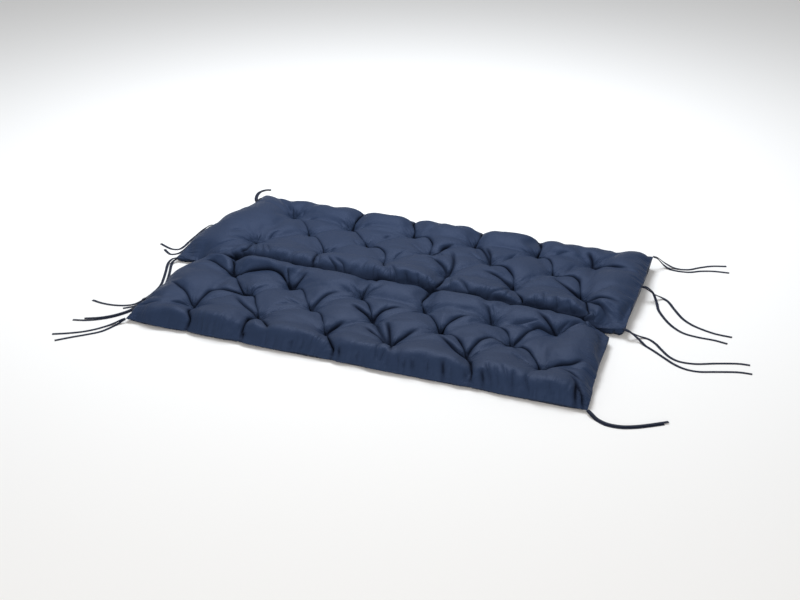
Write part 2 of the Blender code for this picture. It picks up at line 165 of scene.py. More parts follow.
CREASES_HALF_AS_DEEP = (
    (-529, 126, -525, 32, -535, 20, -537, 4), (-295, 123, -290, 15, -286, 4), (-82, 133, -58, 63, -58, 32),
    (28, 249, 61, 263, 68, 297, 81, 317, 95, 334), (98, 283, 132, 212, 146, 161, 139, 127),
    (44, 181, 68, 195, 102, 175, 129, 147, 139, 127), (147, 366, 170, 364, 197, 324, 239, 255),
    (187, 364, 211, 331, 228, 297, 239, 255), (238, 161, 279, 158, 316, 147, 362, 124),
    (459, 205, 500, 181, 541, 151, 578, 129), (517, 432, 538, 398, 551, 360),
    (551, 360, 575, 354, 636, 334, 671, 324, 694, 324),
    (578, 129, 602, 110, 647, 107, 677, 103, 706, 97, 726, 97),
    (-426, -275, -365, -323, -324, -344, -291, -356), (-287, -477, -286, -486),
    (-510, -362, -505, -313, -501, -275, -477, -258, -440, -251, -409, -241, -390, -237),
    (-263, -57, -276, -98, -290, -136), (-170, -248, -161, -193, -150, -163, -130, -146, -113, -139),
    (-52, -57, -55, -81, -58, -123), (-62, -207, -17, -224, 37, -251),
    (37, -251, 40, -204, 54, -180, 74, -163, 105, -156), (139, -373, 160, -330, 173, -296, 194, -265),
    (245, -282, 303, -330, 340, -354, 371, -358), (313, -61, 340, -77, 367, -134),
    (371, -358, 378, -292, 388, -265, 408, -245, 446, -251, 467, -246),
    (467, -246, 483, -204, 490, -163, 504, -125, 541, -128, 566, -131),
    (480, -51, 517, -81, 541, -105, 566, -131), (588, -358, 626, -340, 664, -330, 694, -303, 717, -306),
    (636, -374, 664, -378, 691, -398, 717, -408), (667, -412, 691, -422, 694, -456, 697, -486),
    (-672, -272, -603, -306, -566, -323, -510, -362), (17, -465, 24, -486),
    (-66, -369, -55, -344, -45, -323, -31, -299), (27, -316, 71, -340, 105, -354, 139, -373),
    (37, -251, 85, -316, 139, -373), (74, -251, 102, -292, 139, -373), (139, -373, 163, -436, 166, -462),
    (327, -448, 342, -486), (446, -451, 460, -486), (578, 129, 630, 84, 676, 50, 706, 20),
    (612, -36, 660, -30, 700, -52, 722, -74), (668, -400, 696, -428, 712, -462, 718, -487),
)
WRINKLES = (
    (600, 60, 640, 30, 672, 6), (640, 100, 690, 70, 720, 56), (-600, 8, -560, 40, -529, 126),
    (-640, 30, -600, 60, -560, 110), (566, -131, 640, -70, 690, -40), (-690, -440, -650, -430, -600, -405),
    (-401, 247, -351, 222), (-603, 97, -579, 110, -556, 120, -529, 126), (-600, 120, -593, 141, -579, 158),
    (-498, 137, -501, 175, -501, 198, -481, 219), (-487, 103, -464, 127, -457, 168),
    (-511, 364, -545, 398, -566, 412), (-511, 364, -535, 405), (-481, 358, -484, 398, -474, 415),
    (-474, 331, -416, 368), (-266, 103, -266, 151, -259, 178), (-355, 368, -314, 348, -291, 355),
    (-252, 317, -242, 364, -218, 375), (-246, 253, -212, 232, -183, 245), (-147, 222, -140, 280, -113, 351),
    (-150, 300, -143, 324, -133, 337), (-52, 117, -52, 175, -45, 205, -28, 242), (-74, 365, -11, 348),
    (-55, 286, -14, 266, 28, 249), (51, 249, 74, 246, 98, 215), (149, 283, 197, 263, 239, 255),
    (269, 246, 292, 297, 306, 344), (303, -41, 313, 15, 344, 46, 362, 124), (361, -16, 361, 20, 362, 124),
    (384, 124, 405, 171, 446, 192), (303, 385, 337, 364, 360, 367), (384, 348, 415, 334),
    (473, 242, 490, 276, 504, 341), (473, 392, 510, 392, 551, 360), (412, 351, 442, 392, 480, 405),
    (582, 354, 599, 385), (602, 124, 630, 151, 664, 171), (623, 97, 664, 66, 694, 49, 723, 49),
    (-481, -105, -457, -139), (-291, -356, -263, -323, -235, -299), (-390, -237, -365, -190, -344, -163),
    (-276, -234, -239, -245, -188, -255), (-170, -248, -133, -238, -106, -217),
    (-280, -289, -249, -265, -222, -255), (-116, -81, -82, -105, -58, -123),
    (-140, -108, -99, -122, -58, -123), (-58, -123, -24, -84, 3, -71), (37, -251, 44, -193, 51, -135),
    (122, -190, 136, -156, 152, -130), (337, -41, 367, -91, 367, -134), (384, -61, 374, -98, 367, -134),
    (313, -115, 340, -135, 367, -134), (401, -156, 480, -111, 521, -91), (371, -358, 405, -323),
    (592, -57, 582, -88, 566, -131), (633, -47, 602, -91, 566, -131), (566, -131, 630, -118, 684, -81),
    (483, -323, 521, -340, 551, -350, 588, -358), (-586, -402, -556, -378, -510, -362),
    (-603, -296, -569, -320), (74, -477, 74, -486), (-55, -350, -28, -330, 17, -327),
    (-103, -368, -66, -369), (139, -373, 126, -429, 129, -462, 143, -487), (149, -445, 149, -486),
    (197, -457, 208, -486), (241, -457, 252, -486), (221, -467, 226, -486), (398, -460, 404, -486),
    (449, -414, 481, -486), (490, -412, 538, -486), (531, -428, 543, -486), (476, -424, 503, -486),
    (354, -460, 363, -486), (286, -462, 294, -486), (568, -435, 590, -486), (633, -454, 645, -486),
    (-133, -472, -130, -486), (-529, 126, -501, 20, -498, 4), (-498, 86, -467, 15), (-484, 90, -440, 13),
    (-259, 56, -218, 18, -207, 4), (-242, 59, -195, 29, -179, 4), (-295, 123, -270, 10),
    (-34, 66, -7, 26, 3, 4), (-38, 56, -18, 4), (-69, 26, -31, -57), (23, 39, 35, 4), (61, 42, 73, 4),
    (98, 42, 108, 4), (180, 86, 218, 36, 244, 4), (166, 73, 181, 4), (265, 26, 275, -31), (453, 46, 456, 6),
    (473, 73, 489, 4), (551, 42, 566, 4), (514, 52, 530, 4),
)
ROLLS = (
    (-634, -50, -600, -46, -550, -62), (-500, -56, -440, -48, -385, -58, -340, -84),
)
Crease = namedtuple("Crease", "line strength depth width pinch hold")
# depth, width, how much cloth is pinched into it, and how firmly the sewing holds it down
DEEP, HALF_DEEP = (0.024, 0.014, 0.68, 0.99), (0.015, 0.010, 0.60, 0.0)
UPRIGHT_WRINKLE, WRINKLE = (0.0085, 0.009, 0.45, 0.0), (0.0065, 0.006, 0.45, 0.0)
CREASE_STEP = 0.006
AT_TUFT, AT_FOLD, AT_SEAM = 0.012, 0.012, 0.475  # a crease that ends here doesn't fade out there
# Fine wrinkles round each tuft, short and long by turns: reach and depth of either kind.
SPOKES, SPOKE_POINTS, SPOKE_WIDTH, SPOKE_PINCH = 14, 9, 0.0050, 0.40
SHORT_REACH, LONG_REACH, SHORT_DEPTH, LONG_DEPTH = (0.022, 0.045), (0.045, 0.085), 0.0065, 0.0032
PUCKER_POINTS, PUCKER_WIDTH, PUCKER_PINCH, PUCKER_DEPTH = 7, 0.0045, 0.35, (0.0010, 0.0045)


def smooth_line(points, step):
    """Points about a step apart on a smooth curve through a few given ones."""
    points = np.array(points, float)
    ends = np.concatenate([[2 * points[0] - points[1]], points, [2 * points[-1] - points[-2]]])
    line = []
    for before, start, end, after in zip(ends, ends[1:], ends[2:], ends[3:]):
        cuts = max(1, round(math.hypot(*(end - start)) / step))
        for t in np.arange(cuts) / cuts:
            bend, twist = 2 * before - 5 * start + 4 * end - after, 3 * start - before - 3 * end + after
            line.append(start + 0.5 * (t * (end - before) + t ** 2 * bend + t ** 3 * twist))
    return np.array(line + [points[-1]])


def creased(places, depth, width, pinch, hold):
    """A crease that fades out at its ends, except at a tuft or a seam."""
    line = smooth_line(np.array(places).reshape(-1, 2) / 1000, CREASE_STEP)
    share = np.linspace(0.0, 1.0, len(line))
    strength = np.ones(len(line))
    for end, fading in ((line[0], share), (line[-1], 1.0 - share)):
        at_tuft = min(tuft.away(*end) for tuft in TUFTS) < AT_TUFT
        at_seam = abs(end[1]) < AT_FOLD or abs(end[1]) > AT_SEAM
        if not at_tuft:
            strength *= smooth_step(0.5 + fading / 0.4 if at_seam else fading / 0.45)
    return Crease(line, strength, depth, width, pinch, hold)


hand = np.random.default_rng(11)
CREASES = []
for table, sizes in ((DEEP_CREASES, DEEP), (CREASES_HALF_AS_DEEP, HALF_DEEP)):
    CREASES += [creased(places, sizes[0] * hand.uniform(0.85, 1.15), *sizes[1:]) for places in table]
for places in WRINKLES:
    at_seam = abs(places[-1]) < 20 or places[-1] < -480
    sizes = UPRIGHT_WRINKLE if at_seam else WRINKLE
    CREASES.append(creased(places, sizes[0] * hand.uniform(0.7, 1.2), *sizes[1:]))
for tuft in TUFTS:
    turn = hand.uniform(0.0, 2.0 * math.pi)
    for spoke in range(SPOKES):
        angle = turn + 2.0 * math.pi * (spoke + hand.uniform(-0.3, 0.3)) / SPOKES
        short = spoke % 2 == 0
        reach = hand.uniform(*(SHORT_REACH if short else LONG_REACH))
        bend = hand.uniform(-0.35, 0.35)
        line = np.array([(tuft.x + reach * share * math.cos(angle + bend * share),
                          tuft.y + reach * share * math.sin(angle + bend * share))
                         for share in np.linspace(0.0 if short else 0.25, 1.0, SPOKE_POINTS)])
        strength = 1.0 - smooth_step(np.linspace(-0.2, 1.0, SPOKE_POINTS))
        depth = SHORT_DEPTH * hand.uniform(0.6, 1.3) if short else LONG_DEPTH * hand.uniform(0.5, 1.3)
        CREASES.append(Crease(line, strength, depth, SPOKE_WIDTH, SPOKE_PINCH, 0.0))


def pucker(x, y, inward_x, inward_y):
    """A short crease that runs in from the seam, where the stitches gather the cloth."""
    reach, slant = hand.uniform(0.012, 0.050), hand.uniform(-0.4, 0.4)
    shares = np.linspace(0.0, 1.0, PUCKER_POINTS)
    line = np.array([(x + reach * share * (inward_x + slant * inward_y),
                      y + reach * share * (inward_y + slant * inward_x)) for share in shares])
    depth = hand.uniform(*PUCKER_DEPTH)
    return Crease(line, 1.0 - smooth_step(shares), depth, PUCKER_WIDTH, PUCKER_PINCH, 0.0)


for seam_y, inward in ((-DEPTH / 2, 1.0), (0.0, 1.0), (0.0, -1.0), (DEPTH / 2, -1.0)):
    x = LEFT_X + 0.03
    while x < RIGHT_X - 0.02:
        CREASES.append(pucker(x, seam_y, 0.0, inward * (1.0 if seam_y else 0.8)))
        x += hand.uniform(0.015, 0.085)
for seam_x, inward in ((LEFT_X, 1.0), (RIGHT_X, -1.0)):
    y = -DEPTH / 2 + 0.03
    while y < DEPTH / 2 - 0.02:
        CREASES.append(pucker(seam_x, y, inward, 0.0))
        y += hand.uniform(0.014, 0.050)


FAR_OFF = 9.0


def beside(crease, x, y):
    """How far points lie from a crease, the nearest places on it, and its strength there."""
    nearest = np.full(x.shape, FAR_OFF)
    on_x, on_y, strength = np.zeros((3,) + x.shape)
    for i, (start, end) in enumerate(zip(crease.line, crease.line[1:])):
        run = end - start
        share = np.clip(((x - start[0]) * run[0] + (y - start[1]) * run[1]) / (run @ run), 0.0, 1.0)
        there_x, there_y = start[0] + share * run[0], start[1] + share * run[1]
        distance = np.hypot(x - there_x, y - there_y)
        nearer = distance < nearest
        there = crease.strength[i] + share * (crease.strength[i + 1] - crease.strength[i])
        nearest[nearer], on_x[nearer], on_y[nearer] = distance[nearer], there_x[nearer], there_y[nearer]
        strength[nearer] = there[nearer]
    return nearest, on_x, on_y, strength


def around(crease, x, y, reach):
    """Which points lie in the box round a crease."""
    low, high = crease.line.min(axis=0) - reach, crease.line.max(axis=0) + reach
    return (x > low[0]) & (x < high[0]) & (y > low[1]) & (y < high[1])


# ==== The cushion's cloth, as it is cut and sewn ====
# Smooth woven polyester, cut flat and larger than it lies. Where it is sewn into the rim, the fold
# and the tufts it is held for good, and along the deepest creases the filling never lifts it.
CELL = 0.0068
SPARE_CLOTH = 0.06  # how much longer the cut is than the filled shape
PUFF_HEIGHT = 0.070
END_RISE, FRONT_RISE, REAR_RISE = 0.065, 0.076, 0.075
SEAT_FOLD_RISE, BACK_FOLD_RISE, FOLD_FULLNESS = 0.115, 0.050, 0.13
CREASE_SHARE, CREASE_SPREAD = 0.30, 0.020
TUFT_REACH = 0.026
GATHER, GATHER_REACH = 0.4, 0.010  # the tuft's thread draws this much cloth together
SEAM_DRAW, SEAM_DRAW_REACH = 0.015, 0.05
TUFT_SHARE, MOST_LOST = 0.55, 0.44  # what a tuft takes of the height, and a crease at a seam
ACROSS_RISE, SEAT_RISE, BACK_RISE = 0.050, 0.055, 0.053  # how high the cloth is cut to climb
CUT_ABOVE_FLOOR = 0.050
HELD_FOR_GOOD = 0.995


def trough(x, y):
    """How much of the height the deepest creases and the tufts take at points of the plain rectangle."""
    kept = np.ones(x.shape)
    for crease in CREASES[:len(DEEP_CREASES)]:
        near = around(crease, x, y, 0.08)
        distance, _, _, strength = beside(crease, x[near], y[near])
        kept[near] = np.minimum(kept[near], 1.0 - CREASE_SHARE * strength * np.exp(-distance / CREASE_SPREAD))
    for tuft in TUFTS:
        distance = tuft.away(x, y)
        kept = np.minimum(kept, 1.0 - TUFT_SHARE * 0.5 ** ((distance / TUFT_REACH) ** 1.3))
    return 1.0 - kept


def rise(distance, over):
    """Quarter of an ellipse: the share of the full height at a distance from a seam."""
    share = np.clip(distance / over, 0.0, 1.0)
    return np.sqrt(np.maximum(0.0, 1.0 - (1.0 - share) ** 2))


def fullness(y, from_end):
    """The share of the full height that the filling gives, from the seams and the fold upwards."""
    beside_fold = rise(np.abs(y), np.where(y > 0, BACK_FOLD_RISE, SEAT_FOLD_RISE))
    return (rise(from_end, END_RISE) * rise(DEPTH / 2 - np.abs(y), np.where(y < 0, FRONT_RISE, REAR_RISE))
            * (FOLD_FULLNESS + (1.0 - FOLD_FULLNESS) * beside_fold))


def even_stops(low, high, heights):
    """Grid lines from low to high with equally long cloth between them, and the cloth's own length there."""
    fine = np.linspace(low, high, 4001)
    length = np.concatenate([[0.0], np.cumsum(np.hypot(np.diff(fine), np.diff(heights(fine))))])
    even = np.linspace(0.0, length[-1], round(length[-1] / CELL) + 1)
    return np.interp(even, length, fine), even * (1.0 + SPARE_CLOTH)


def drawn_in(y, at_end, lost):
    """How far the creases draw the long seams in."""
    drawn = np.clip(1.0 - (DEPTH / 2 - np.abs(y)) / SEAM_DRAW_REACH, 0.0, 1.0) * (1.0 - at_end ** 8)
    return -np.sign(y) * SEAM_DRAW * drawn * lost / MOST_LOST


def in_scene(name, data):
    """A new object with this data, linked to the scene."""
    new = bpy.data.objects.new(name, data)
    bpy.context.scene.collection.objects.link(new)
    return new


def cloth_mesh(name, places):
    """A mesh of square cells through a grid of places."""
    rows, columns = places.shape[:2]
    numbers = np.arange(rows * columns).reshape(rows, columns)
    cells = np.stack([numbers[:-1, :-1], numbers[:-1, 1:], numbers[1:, 1:], numbers[1:, :-1]], axis=-1)
    mesh = bpy.data.meshes.new(name)
    mesh.from_pydata(places.reshape(-1, 3).tolist(), [], cells.reshape(-1, 4).tolist())
    return mesh


along, along_cut = even_stops(
    LEFT_X, RIGHT_X, lambda x: ACROSS_RISE * rise(np.minimum(x - LEFT_X, RIGHT_X - x), END_RISE))
seat, seat_cut = even_stops(-DEPTH / 2, 0.0, lambda y: SEAT_RISE * fullness(y, 1.0))
back, back_cut = even_stops(0.0, DEPTH / 2, lambda y: BACK_RISE * fullness(np.maximum(y, 1e-9), 1.0))
deep = np.concatenate([seat, back[1:]])
deep_cut = np.concatenate([seat_cut, seat_cut[-1] + back_cut[1:]])
plain_x, plain_y = np.meshgrid(along, deep)
spare_x, spare_y = np.meshgrid(along_cut - along_cut.mean() - along + along.mean(),
                               deep_cut - deep_cut.mean() - deep + deep.mean())
sewn_x, sewn_y, seam_height, from_end, at_end = laid_out(plain_x, plain_y)
cut_x, cut_y = sewn_x + spare_x, sewn_y + spare_y

hold, shift_x, shift_y = np.zeros((3,) + plain_x.shape)
for crease in CREASES:
    if crease.hold > 0.0:
        distance, on_x, on_y, strength = beside(crease, plain_x, plain_y)
        on_line = (distance < 0.6 * CELL) & (strength > 0.5)
        hold[on_line] = np.maximum(hold[on_line], crease.hold)
        shift_x[on_line], shift_y[on_line] = (on_x - plain_x)[on_line], (on_y - plain_y)[on_line]
for tuft in TUFTS:
    distance = tuft.away(plain_x, plain_y)
    gathered = distance < GATHER_REACH
    hold[gathered] = 1.0
    shift_x[gathered] = (GATHER - 1.0) * (plain_x - tuft.x)[gathered]
    shift_y[gathered] = (GATHER - 1.0) * (plain_y - tuft.y)[gathered]
hold[0] = hold[-1] = hold[len(seat) - 1] = 1.0
hold[:, 0] = hold[:, -1] = 1.0

lost = trough(plain_x, plain_y)
sewn_x, sewn_y = sewn_x + shift_x, sewn_y + shift_y + drawn_in(plain_y, at_end, lost)
full = fullness(plain_y, from_end)
sewn_z = seam_height + full * (1.0 - lost) * (PUFF_HEIGHT - seam_height)
for tuft in TUFTS:
    sewn_z[tuft.away(plain_x, plain_y) < GATHER_REACH] = tuft.height

sewn_places = np.stack([sewn_x, sewn_y, sewn_z], axis=-1).reshape(-1, 3)
panel = cloth_mesh("cut_panel", np.stack([cut_x, cut_y, np.full(cut_x.shape, CUT_ABOVE_FLOOR)], axis=-1))
cushion = in_scene("cushion_cloth", panel)


# ==== Filling the cushion ====
# The flat cut is drawn in to its seams and tufts while the fibre filling blows it up between them,
# so that it billows into puffs and its spare cloth folds and puckers where it is held.
CLOTH = dict(quality=6, mass=0.3, tension_stiffness=15.0, compression_stiffness=15.0, shear_stiffness=7.5,
             bending_stiffness=0.05, tension_damping=5.0, compression_damping=5.0, shear_damping=5.0,
             bending_damping=0.5, air_damping=2.0, use_pressure=True, uniform_pressure_force=5.0,
             vertex_group_mass="held")
DRAWN_BY_FRAME, FILLING_FRAMES = 8, 30
FULL_HEIGHT, SQUEEZED_ABOVE = 0.0785, 0.045

cushion.shape_key_add(name="cut")
drawn = cushion.shape_key_add(name="sewn")
drawn.data.foreach_set("co", sewn_places.ravel())
drawn.value = 0.0
drawn.keyframe_insert("value", frame=1)
drawn.value = 1.0
drawn.keyframe_insert("value", frame=DRAWN_BY_FRAME)
held = cushion.vertex_groups.new(name="held")
for weight in np.unique(hold[hold > 0.0]):
    held.add([int(i) for i in np.flatnonzero(hold.ravel() == weight)], float(weight), "REPLACE")
filling = cushion.modifiers.new("filling", "CLOTH")
for name, value in CLOTH.items():
    setattr(filling.settings, name, value)
filling.settings.effector_weights.gravity = 0.0
filling.collision_settings.use_collision = False
filling.point_cache.frame_start, filling.point_cache.frame_end = 1, FILLING_FRAMES
for frame_number in range(1, FILLING_FRAMES + 1):
    bpy.context.scene.frame_set(frame_number)
filled = cushion.evaluated_get(bpy.context.evaluated_depsgraph_get())
places = np.zeros(sewn_places.size, np.float32)
filled.data.vertices.foreach_get("co", places)
places = places.reshape(-1, 3)
cushion.modifiers.clear()
panel.shape_keys.animation_data_clear()
cushion.shape_key_clear()
cushion.vertex_groups.clear()
bpy.context.scene.frame_set(1)

highest = places[:, 2].max()
if highest > FULL_HEIGHT:
    squeezed = SQUEEZED_ABOVE + ((places[:, 2] - SQUEEZED_ABOVE) * (FULL_HEIGHT - SQUEEZED_ABOVE)
                                 / (highest - SQUEEZED_ABOVE))
    places[:, 2] = np.where(places[:, 2] > SQUEEZED_ABOVE, squeezed, places[:, 2])
filled_places = places.reshape(plain_x.shape + (3,)).astype(float)


# ==== Pressing the creases in ====
# Each crease is a narrow trough with steep, rounded sides, into which the cloth on both sides is
# drawn. Near the seams and the tufts the creases press in less.
TROUGH_BOTTOM, SHARP_WIDTH = 0.0015, 0.004
# Shade is painted into the cloth's colour where a crease closes and deep in the fold, where no light gets in:
# its width, how dark the fold's painted shade is, and from which depth of crease on, over which further
# depth, it is painted.
DARK_WIDTH, DARK_FOLD, FOLD_DARKNESS = 0.0066, 0.011, 0.75
SHADE_FROM_DEPTH, SHADE_OVER_DEPTH, SHADE_GAIN = 0.007, 0.012, 1.5
ROLL_HEIGHT, ROLL_WIDTH = 0.010, 0.026
VALLEY_DEPTH, VALLEY_WIDTH = 0.006, 0.034  # the puffs round off towards the deepest creases and tufts
SEAM_SHIFT_REACH = 0.012  # how far in the cloth follows the seam's small waves
# The front sides of both halves swell out, and so does the foremost row of puffs: place along Y,
# height and half width.
BULGES = ((-0.440, 0.007, 0.035), (0.034, 0.003, 0.020))
ROUNDED_Y, ROUNDING = -0.385, 50  # in front of here the seat's front side is rounded over
CALM = 3  # rounds that even out the filled cloth


def evened(grid, rounds, both_ways=True):
    """Every point moved to between its neighbours; the outer ones stay."""
    grid = grid.copy()
    for _ in range(rounds):
        grid[1:-1] = 0.5 * grid[1:-1] + 0.25 * (grid[:-2] + grid[2:])
        if both_ways:
            grid[:, 1:-1] = 0.5 * grid[:, 1:-1] + 0.25 * (grid[:, :-2] + grid[:, 2:])
    return grid


def twice_as_fine(grid):
    """A point put between every two, on a smooth curve through the four nearest."""
    for axis in (0, 1):
        grid = np.moveaxis(grid, axis, 0)
        wide = np.concatenate([2 * grid[:1] - grid[1:2], grid, 2 * grid[-1:] - grid[-2:-1]])
        finer = np.zeros((2 * len(grid) - 1,) + grid.shape[1:])
        finer[::2] = grid
        finer[1::2] = (9.0 * (wide[1:-2] + wide[2:-1]) - wide[:-3] - wide[3:]) / 16.0
        grid = np.moveaxis(finer, 0, axis)
    return grid


kept_still = hold > HELD_FOR_GOOD
calm = evened(filled_places, CALM)
calm[kept_still] = filled_places[kept_still]
fine = twice_as_fine(calm)
fine_x, fine_y = twice_as_fine(plain_x), twice_as_fine(plain_y)
rounded = evened(fine, ROUNDING, both_ways=False)
in_front = smooth_step((ROUNDED_Y - fine_y) / 0.03)[..., None]
fine = in_front * rounded + (1.0 - in_front) * fine
for points in ROLLS:
    roll = creased(points, ROLL_HEIGHT, 0.0, 0.0, 0.0)
    distance = beside(roll, fine_x, fine_y)[0]
    fine[..., 2] += ROLL_HEIGHT * np.exp(-(distance / ROLL_WIDTH) ** 2)
broad = evened(fine, 12)
outward = np.cross(np.gradient(broad, axis=1), np.gradient(broad, axis=0))
outward /= np.linalg.norm(outward, axis=-1, keepdims=True)
from_ends = np.minimum(fine_x - LEFT_X, RIGHT_X - fine_x)
bulge = sum(height * np.exp(-((fine_y - middle) / width) ** 2) for middle, height, width in BULGES)
fine += outward * (bulge * smooth_step(from_ends / 0.10))[..., None]
from_rim = np.minimum(DEPTH / 2 - np.abs(fine_y), from_ends)
above_seam = fine[..., 2] - twice_as_fine(seam_height)
free = 0.3 + 0.7 * smooth_step(np.hypot(from_rim, np.maximum(above_seam, 0.0)) / 0.014)
for tuft in TUFTS:
    free *= 0.55 + 0.45 * smooth_step(tuft.away(fine_x, fine_y) / 0.022)

# shade is the painted shade for the cloth's colour: along the fold, and in each crease as it closes.
depth, shade = np.zeros(fine_x.shape), FOLD_DARKNESS * np.exp(-(fine_y / DARK_FOLD) ** 2)
pull, pull_x, pull_y = np.zeros((3,) + fine_x.shape)
for crease in CREASES:
    near = around(crease, fine_x, fine_y, 4 * crease.width)
    distance, on_x, on_y, strength = beside(crease, fine_x[near], fine_y[near])
    rounded = np.hypot(distance, TROUGH_BOTTOM) - TROUGH_BOTTOM
    pressed = crease.depth * strength * (0.4 * np.exp(-rounded / SHARP_WIDTH)
                                         + 0.6 * np.exp(-rounded / crease.width))
    depth[near] = np.maximum(depth[near], pressed) + 0.25 * np.minimum(depth[near], pressed)
    # Painted shade in the crease, the darker the deeper the crease.
    shade_share = smooth_step((crease.depth - SHADE_FROM_DEPTH) / SHADE_OVER_DEPTH)
    crease_shade = np.minimum(1.0, SHADE_GAIN * (shade_share * strength * np.exp(-(distance / DARK_WIDTH) ** 2)))
    shade[near] = np.maximum(shade[near], crease_shade)
    drawn_to = crease.pinch * strength * np.exp(-(distance / crease.width) ** 2)
    stronger = drawn_to > pull[near]
    for grid, value in ((pull, drawn_to), (pull_x, drawn_to * (on_x - fine_x[near])),
                        (pull_y, drawn_to * (on_y - fine_y[near]))):
        grid[near] = np.where(stronger, value, grid[near])
valley = np.zeros(fine_x.shape)
for crease in CREASES[:len(DEEP_CREASES)]:
    near = around(crease, fine_x, fine_y, 2.5 * VALLEY_WIDTH)
    distance, _, _, strength = beside(crease, fine_x[near], fine_y[near])
    valley[near] = np.maximum(valley[near], strength * np.exp(-(distance / VALLEY_WIDTH) ** 2))
for tuft in TUFTS:
    distance = tuft.away(fine_x, fine_y)
    valley = np.maximum(valley, np.exp(-(distance / VALLEY_WIDTH) ** 2) * smooth_step(distance / 0.020))
depth += VALLEY_DEPTH * valley
depth, pull_x, pull_y = depth * free, pull_x * free, pull_y * free
fine = fine - outward * depth[..., None] + np.stack([pull_x, pull_y, np.zeros(depth.shape)], axis=-1)


def uneven(places, step, amount):
    """Small random shifts along a seam, a step apart, with none at its two ends."""
    stops = np.arange(places.min(), places.max() + step, step)
    shifts = hand.uniform(-amount, amount, len(stops))
    shifts[[0, -2, -1]] = 0.0
    line = smooth_line(np.stack([stops, shifts], axis=-1), step / 6)
    return np.interp(places, line[:, 0], line[:, 1])


near_left, near_right, near_front, near_rear = (np.exp(-distance / SEAM_SHIFT_REACH) for distance in (
    fine_x - LEFT_X, RIGHT_X - fine_x, DEPTH / 2 + fine_y, DEPTH / 2 - fine_y))
fine[..., 0] += near_left * uneven(fine_y, 0.026, 0.0022) + near_right * uneven(fine_y, 0.026, 0.0022)
fine[..., 1] += near_front * uneven(fine_x, 0.034, 0.0046) + near_rear * uneven(fine_x, 0.034, 0.0025)
fine[..., 2] += near_front * np.abs(uneven(fine_x, 0.041, 0.0040))
fine[..., 2] = np.maximum(fine[..., 2], 0.002)

fine_cut = twice_as_fine(np.stack([cut_x, cut_y], axis=-1))
upper = cloth_mesh("upper_cloth", fine)
cut_lines = upper.uv_layers.new(name="cloth")
corners = np.zeros(len(upper.loops), np.int32)
upper.loops.foreach_get("vertex_index", corners)
cut_lines.data.foreach_set("uv", fine_cut.reshape(-1, 2)[corners].ravel())

# Finer gathers than the creases: they fan out from each tuft, and run in from the seams.
FAN_FOLDS, FAN_START, FAN_REACH = 4.5, 0.008, 0.060
FAN_STRETCH, FAN_APART = 14.0, 9.0  # noise along each fold, and from one tuft to the next
nearest = np.full(fine_x.shape, FAR_OFF)
fan = np.zeros(fine_x.shape + (3,))
for number, tuft in enumerate(TUFTS):
    distance = tuft.away(fine_x, fine_y)
    nearer = distance < nearest
    nearest[nearer] = distance[nearer]
    spread = np.stack([fine_x - tuft.x, fine_y - tuft.y], axis=-1) / (distance[..., None] + 0.001)
    outwards = FAN_STRETCH * distance[..., None] + FAN_APART * number
    fan[nearer] = np.concatenate([FAN_FOLDS * spread, outwards], axis=-1)[nearer]
fanned = 1.0 - smooth_step((nearest - FAN_START) / FAN_REACH)
upright = smooth_step((-0.425 - fine_y) / 0.03) + np.exp(-((fine_y - 0.020) / 0.022) ** 2)
upright += 0.7 * smooth_step((fine_y - 0.445) / 0.03)
upright *= np.clip(0.45 + 0.55 * uneven(fine_x, 0.070, 1.0), 0.1, 1.0)  # more in some stretches
sideways = 1.0 - smooth_step(from_ends / 0.055)
fan_directions = upper.attributes.new("fan", "FLOAT_VECTOR", "POINT")
fan_directions.data.foreach_set("vector", fan.astype(np.float32).ravel())
# The first attribute carries the painted shade of closing creases and the fold; the others mask the fine
# gathers.
for name, share in (("closed", shade), ("fanned", fanned), ("upright", upright), ("sideways", sideways)):
    gathered = upper.attributes.new(name, "FLOAT", "POINT")
    gathered.data.foreach_set("value", np.clip(share, 0.0, 1.0).astype(np.float32).ravel())
cushion.data = upper
bpy.data.meshes.remove(panel)


# ==== The lower cloth ====
# The same cloth underneath. It curves in from the seam and lies flat under the puffs, and the tufts
# lift it in small dimples. It is sewn to the upper cloth all round.
UNDER_CELL = 0.010
UNDERSIDE_FULLNESS = 1.9
DIMPLE_HEIGHT, DIMPLE_REACH = 0.013, 0.017
BESIDE_THE_RIM = np.array([0.0035, 0.009, 0.017])  # closer rows of points along the seam

case = bmesh.new()
case.from_mesh(upper)
case.verts.ensure_lookup_table()
rim = [edge for edge in case.edges if edge.is_boundary]
start = rim[0].verts[0]
loop, before, vertex = [start], start, rim[0].verts[1]
while vertex is not start:
    loop.append(vertex)
    following = [edge.other_vert(vertex) for edge in vertex.link_edges if edge.is_boundary]
    vertex, before = (following[0] if following[0] is not before else following[1]), vertex

under_x = np.concatenate([LEFT_X + BESIDE_THE_RIM, np.arange(LEFT_X + 0.026, RIGHT_X - 0.026, UNDER_CELL),
                          RIGHT_X - BESIDE_THE_RIM[::-1]])
half_y = np.concatenate([np.arange(0.0, DEPTH / 2 - 0.028, UNDER_CELL), DEPTH / 2 - BESIDE_THE_RIM[::-1]])
under_x, under_y = np.meshgrid(under_x, np.concatenate([-half_y[:0:-1], half_y]))
real_x, real_y, under_seam, under_from_end, under_at_end = laid_out(under_x, under_y)
under_lost = trough(under_x, under_y)
real_y = real_y + drawn_in(under_y, under_at_end, under_lost)
under_full = fullness(under_y, under_from_end) * (1.0 - under_lost)
under_z = under_seam * (1.0 - np.minimum(1.0, UNDERSIDE_FULLNESS * under_full))
for tuft in TUFTS:
    distance = tuft.away(real_x, real_y)
    under_z = np.maximum(under_z, DIMPLE_HEIGHT * 0.5 ** ((distance / DIMPLE_REACH) ** 1.4) - 0.0004)
under_points = np.stack([real_x, real_y, under_z], axis=-1).reshape(-1, 3)

